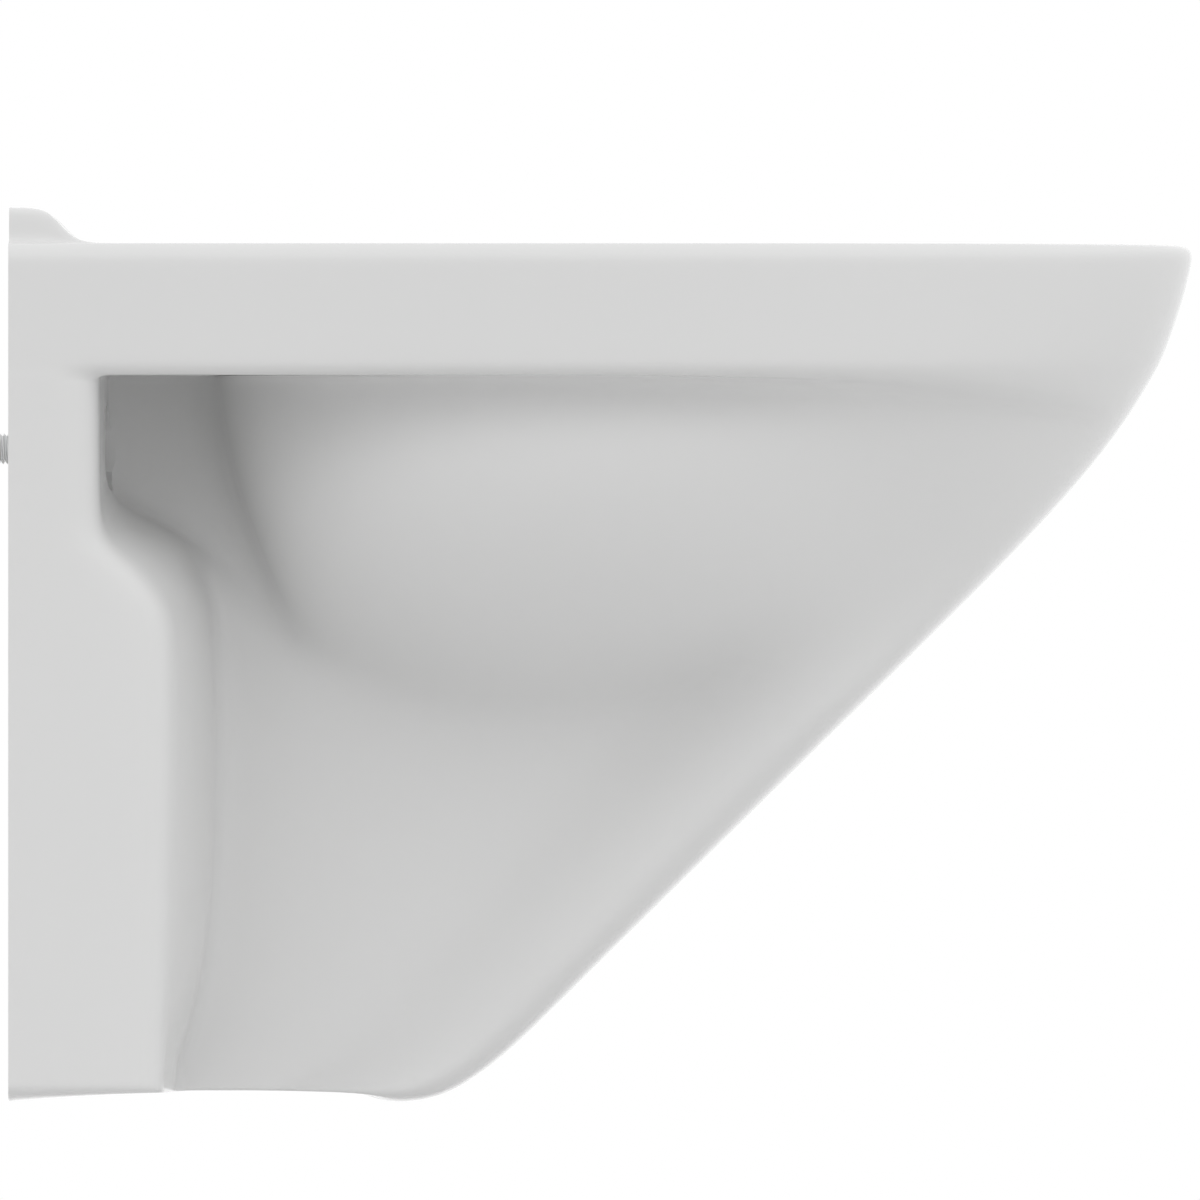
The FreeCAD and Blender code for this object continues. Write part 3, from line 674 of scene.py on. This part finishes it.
def flushHoles(bm):
    length = pan["openingLength"] / 2 + hollow["flushOutX"]
    wide = pan["openingWidth"] / 2 + hollow["flushOutY"]
    for i in range(hollow["flushHoles"]):
        t = 2 * math.pi * (i + 0.5) / hollow["flushHoles"]
        x = pan["openingMiddle"] + length * math.cos(t)
        y = wide * math.sin(t) * (1 - inside["egg"] * math.cos(t))
        post(bm, hollow["flushHole"], (x, y, hollow["flushLow"]), (x, y, hollow["flushHigh"]), 12)


def makePan():
    materials = [finish["glazedChina"], finish["biscuitChina"]]
    piece = newPiece("panCasting", makePanCage(), materials)
    rounding = piece.modifiers.new("rounding", "SUBSURF")
    rounding.levels = rounding.render_levels = pan["subdivision"]
    mesh = bake(piece)
    bm = bmesh.new()
    bm.from_mesh(mesh)
    bmesh.ops.holes_fill(bm, edges=[e for e in bm.edges if e.is_boundary])  # wall face and the trap's end
    bmesh.ops.recalc_face_normals(bm, faces=bm.faces[:])
    print("pan: skin of", len(bm.faces), "faces, open edges", sum(e.is_boundary for e in bm.edges))
    bm.to_mesh(mesh)
    bm.free()
    cutters = [hollowCutter(materials)] + waterCutters(materials)
    cutters += [newCutter(shape, materials) for shape in (wells, seatHoles, flushHoles)]
    carve(piece, cutters)
    mesh = bake(piece, cutters)
    bm = bmesh.new()
    bm.from_mesh(mesh)
    bmesh.ops.dissolve_degenerate(bm, edges=bm.edges[:], dist=0.000005)
    for f in bm.faces:
        f.smooth = True
        if f.normal.x < -0.9 and abs(f.calc_center_median().x) < pan["wallNear"] * mm:
            f.material_index = 1  # ground flat against the wall
    for e in bm.edges:
        e.smooth = len(e.link_faces) == 2 and e.calc_face_angle(0) < math.radians(pan["sharpAngle"])
    bm.to_mesh(mesh)
    bm.free()
    return piece


panPiece = makePan()
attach(panPiece, "pan")
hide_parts("ceramic_pan")
print("pan:", len(panPiece.data.polygons), "faces")

# push-on caps over the nuts, turned about each stud's line
cap = {"dish": 0.5, "dishRadius": 7.2, "groove": 0.45, "steps": 72,
       "skirtOut": 1.2, "wall": 1.8, "roof": 2.4, "shoulder": 3.2, "shoulderSteps": 8}


def makeCap(side):
    low, high = inMm(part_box("cover_cap_" + side))
    start, top, skirt = low.x, high.x, (high.y - low.y) / 2
    body, middle = skirt - cap["skirtOut"], (high.y + low.y) / 2
    bore, roof, shoulder = body - cap["wall"], top - cap["roof"], cap["shoulder"]
    dish, dishRadius, grooveFloor = cap["dish"], cap["dishRadius"], body - cap["groove"]
    outline = [(start, bore), (start, skirt - 0.4), (start + 0.35, skirt), (start + 1.1, skirt)]
    outline += [(start + 1.5, skirt - 0.3), (start + 2.0, body + 0.25), (start + 2.6, body)]
    outline += [(start + 4.0, body), (start + 4.25, grooveFloor), (start + 4.85, grooveFloor)]
    outline += [(start + 5.1, body)]
    for i in range(cap["shoulderSteps"] + 1):
        t = math.pi / 2 * i / cap["shoulderSteps"]
        outline.append((top - shoulder + shoulder * math.sin(t), body - shoulder + shoulder * math.cos(t)))
    outline += [(top, dishRadius + 0.9), (top - dish * 0.35, dishRadius), (top - dish, dishRadius * 0.55)]
    outline += [(top - dish, 0), (roof, 0), (roof, bore - 1.5), (roof - 1.5, bore)]
    bm = bmesh.new()
    turned(bm, outline, (0, middle, 0), (1, 0, 0), cap["steps"])
    piece = newPiece("nutCap_" + side, bm, [finish["capPlastic"]])
    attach(piece, "cap_" + side)
    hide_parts("cover_cap_" + side)


for side in bothSides:
    makeCap(side)
print("caps done")

# studs with a rolled thread: one tooth is spun and raised along the stud's line
stud = {"pitch": 1.75, "depth": 0.95, "steps": 24, "chamfer": 1.5, "frontRadius": 5.8, "wallFace": 0.5,
        "tooth": ((0, 0), (0.125, 0), (0.44, 1), (0.56, 1), (0.875, 0), (1, 0))}  # share of the pitch, crest


def makeStud(side):
    low, high = inMm(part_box("wall_stud_" + side))
    radius, middle, pitch = (high.y - low.y) / 2, (high.y + low.y) / 2, stud["pitch"]
    root = radius - stud["depth"]
    turns = math.ceil((high.x - low.x) / pitch) + 2
    bm = bmesh.new()
    tooth = [(pitch * share, radius if crest else root) for share, crest in stud["tooth"]]
    verts = [bm.verts.new(Vector((low.x - pitch + along, middle, r)) * mm) for along, r in tooth]
    edges = [bm.edges.new(pair) for pair in zip(verts, verts[1:])]
    bmesh.ops.spin(bm, geom=verts + edges, cent=Vector((0, middle, 0)) * mm, axis=(1, 0, 0),
                   dvec=(pitch / stud["steps"] * mm, 0, 0), angle=2 * math.pi * turns,
                   steps=stud["steps"] * turns)
    bmesh.ops.remove_doubles(bm, verts=bm.verts[:], dist=0.000004)
    for x, way in ((low.x, -1), (high.x, 1)):  # cut both ends square and close them
        cut = bmesh.ops.bisect_plane(bm, geom=allOf(bm), plane_co=(x * mm, 0, 0), plane_no=(way, 0, 0),
                                     clear_outer=True, dist=0.000001)["geom_cut"]
        bmesh.ops.holes_fill(bm, edges=[g for g in cut if isinstance(g, bmesh.types.BMEdge)])
    for v in bm.verts:  # chamfered ends, slimmer in front of the wall
        along = v.co.x / mm
        across = Vector((0, v.co.y / mm - middle, v.co.z / mm))
        end = min(along - low.x, high.x - along)
        limit = radius - max(0, stud["chamfer"] - end)
        scale = min(1, limit / max(across.length, 0.001))
        if along > stud["wallFace"]:
            scale = min(scale, scale * stud["frontRadius"] / radius)
        v.co.y = (middle + across.y * scale) * mm
        v.co.z = across.z * scale * mm
    bmesh.ops.recalc_face_normals(bm, faces=bm.faces[:])
    piece = newPiece("threadedStud_" + side, bm, [finish["zincSteel"]], 50)
    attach(piece, "pan")
    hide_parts("wall_stud_" + side)


for side in bothSides:
    makeStud(side)
print("studs done")

# rubber seal in the inlet: lipped rear face with a groove in it, fins outside
seal = {"fins": 3, "firstFin": 4.0, "finPitch": 8.5, "finHeight": 1.6, "lip": 0.8, "steps": 96}


def makeSeal():
    low, high = inMm(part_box("inlet_seal"))
    fin, centreZ = (high.y - low.y) / 2, (high.z + low.z) / 2
    bore, core = mounts["flush_inlet"]["dims"]["r_mm"], fin - seal["finHeight"]
    start, end, lip = low.x, high.x, seal["lip"]
    outline = [(start + lip, bore), (start + lip * 0.3, bore + 0.2), (start, bore + 0.7)]
    outline += [(start, bore + 1.3), (start + 0.5, bore + 1.5), (start + 0.5, bore + 1.9)]
    outline += [(start, bore + 2.1), (start, core - 0.5), (start + 0.5, core)]
    for i in range(seal["fins"]):
        x = start + seal["firstFin"] + seal["finPitch"] * i
        outline += [(x, core), (x + 1.4, fin - 0.25), (x + 1.7, fin)]
        outline += [(x + 2.4, fin), (x + 2.7, fin - 0.25), (x + 4.2, core)]
    outline += [(end - 0.5, core), (end, core - 0.5), (end, bore + 0.6), (end - 0.6, bore)]
    bm = bmesh.new()
    turned(bm, outline, (0, 0, centreZ), (1, 0, 0), seal["steps"])
    piece = newPiece("inletSeal", bm, [finish["sealRubber"]])
    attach(piece, "pan")
    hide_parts("inlet_seal")


makeSeal()
print("seal done")

# fixings that keep their solids
fixings = {"hex_nut_": "zincSteel", "steel_washer_": "zincSteel", "stud_bush_": "nylonBush"}
for side in bothSides:
    for node, name in fixings.items():
        mesh = frame["nodes"][node + side].data
        mesh.materials.clear()
        mesh.materials.append(finish[name])
print("fixings done")

# camera
shot = {"lens": 1500.0, "sensor": 36.0, "width": 488.8, "x": 240.0, "z": -61.8, "planeY": -90.0,
        "clipEnd": 60}
camData = bpy.data.cameras.new("photoCamera")
camData.lens = shot["lens"]
camData.sensor_width = shot["sensor"]
camData.clip_end = shot["clipEnd"]
camera = bpy.data.objects.new("photoCamera", camData)
distance = shot["width"] * shot["lens"] / shot["sensor"]
camera.location = Vector((shot["x"], shot["planeY"] - distance, shot["z"])) * mm
camera.rotation_euler = (math.pi / 2, 0, 0)
scene.collection.objects.link(camera)
scene.camera = camera
scene.view_settings.view_transform = "Standard"

# floor that fades into the background
floor = {"x": 200.0, "z": -420.0, "radius": 1500.0, "grey": 0.78, "rough": 0.8,
         "fadeFrom": 0.55, "fadeTo": 1.35}


def makeFloor():
    bm = bmesh.new()
    bmesh.ops.create_circle(bm, cap_ends=True, segments=96, radius=floor["radius"] * mm,
                            matrix=Matrix.Translation(Vector((floor["x"], 0, floor["z"])) * mm))
    material = bpy.data.materials.new("paleFloor")
    material.use_nodes = True
    nodes, links = material.node_tree.nodes, material.node_tree.links
    shader = nodes["Principled BSDF"]
    shader.inputs["Base Color"].default_value = (floor["grey"], floor["grey"], floor["grey"], 1)
    shader.inputs["Roughness"].default_value = floor["rough"]
    place = nodes.new("ShaderNodeTexCoord")
    far = mathNode(nodes, "LENGTH", kind="ShaderNodeVectorMath")
    fade = nodes.new("ShaderNodeMapRange")
    fade.interpolation_type = "SMOOTHSTEP"
    fade.inputs["From Min"].default_value = floor["fadeFrom"]
    fade.inputs["From Max"].default_value = floor["fadeTo"]
    ray = nodes.new("ShaderNodeLightPath")
    seen = mathNode(nodes, "MAXIMUM")
    share = mathNode(nodes, "MULTIPLY")
    glow = nodes.new("ShaderNodeEmission")
    mix = nodes.new("ShaderNodeMixShader")
    links.new(place.outputs["Object"], far.inputs[0])
    links.new(far.outputs["Value"], fade.inputs["Value"])
    links.new(ray.outputs["Is Camera Ray"], seen.inputs[0])
    links.new(ray.outputs["Is Glossy Ray"], seen.inputs[1])
    links.new(seen.outputs[0], share.inputs[0])
    links.new(fade.outputs["Result"], share.inputs[1])
    links.new(share.outputs[0], mix.inputs["Fac"])
    links.new(shader.outputs[0], mix.inputs[1])
    links.new(glow.outputs[0], mix.inputs[2])
    links.new(mix.outputs[0], nodes["Material Output"].inputs["Surface"])
    piece = newPiece("studioFloor", bm, [material])


makeFloor()

# light: a bright room with a soft light high on the camera's side, seen by the camera as plain white
light = {"level": 0.90, "forward": 0.14, "viewerDip": 0.37, "dipSpread": 3,
         "key": 1.15, "keyHeight": 51.0, "keySpread": 6}


def makeWorld():
    world = bpy.data.worlds.new("studio")
    scene.world = world
    world.use_nodes = True
    nodes, links = world.node_tree.nodes, world.node_tree.links
    room = nodes["Background"]
    room.inputs["Color"].default_value = (1, 1, 1, 1)
    height = math.radians(light["keyHeight"])
    keyWay = (0, -math.cos(height), math.sin(height))
    place = nodes.new("ShaderNodeTexCoord")
    ahead = mathNode(nodes, "DOT_PRODUCT", (light["forward"], 0, 0), "ShaderNodeVectorMath")
    facing = mathNode(nodes, "DOT_PRODUCT", (0, -1, 0), "ShaderNodeVectorMath")  # towards the camera's side
    front = mathNode(nodes, "MAXIMUM", 0)
    dip = mathNode(nodes, "POWER", light["dipSpread"])
    above = mathNode(nodes, "DOT_PRODUCT", keyWay, "ShaderNodeVectorMath")  # towards the soft light
    lit = mathNode(nodes, "MAXIMUM", 0)
    spread = mathNode(nodes, "POWER", light["keySpread"])
    key = mathNode(nodes, "MULTIPLY_ADD", light["key"])
    base = mathNode(nodes, "MULTIPLY_ADD", -light["viewerDip"])
    base.inputs[2].default_value = light["level"]
    level = mathNode(nodes, "ADD")
    ray = nodes.new("ShaderNodeLightPath")
    either = mathNode(nodes, "MAXIMUM")
    seen = mathNode(nodes, "MAXIMUM")
    white = nodes.new("ShaderNodeBackground")
    white.inputs["Color"].default_value = (1, 1, 1, 1)
    mix = nodes.new("ShaderNodeMixShader")
    for node in (ahead, facing, above):
        links.new(place.outputs["Generated"], node.inputs[0])
    links.new(facing.outputs["Value"], front.inputs[0])
    links.new(front.outputs[0], dip.inputs[0])
    links.new(dip.outputs[0], base.inputs[0])
    links.new(above.outputs["Value"], lit.inputs[0])
    links.new(lit.outputs[0], spread.inputs[0])
    links.new(spread.outputs[0], key.inputs[0])
    links.new(ahead.outputs["Value"], key.inputs[2])
    links.new(key.outputs[0], level.inputs[0])
    links.new(base.outputs[0], level.inputs[1])
    links.new(level.outputs[0], room.inputs["Strength"])
    links.new(ray.outputs["Is Camera Ray"], either.inputs[0])
    links.new(ray.outputs["Is Glossy Ray"], either.inputs[1])
    links.new(either.outputs[0], seen.inputs[0])
    links.new(ray.outputs["Is Transmission Ray"], seen.inputs[1])
    links.new(seen.outputs[0], mix.inputs["Fac"])
    links.new(room.outputs[0], mix.inputs[1])
    links.new(white.outputs[0], mix.inputs[2])
    links.new(mix.outputs[0], nodes["World Output"].inputs["Surface"])


makeWorld()
print("camera, floor and light done")
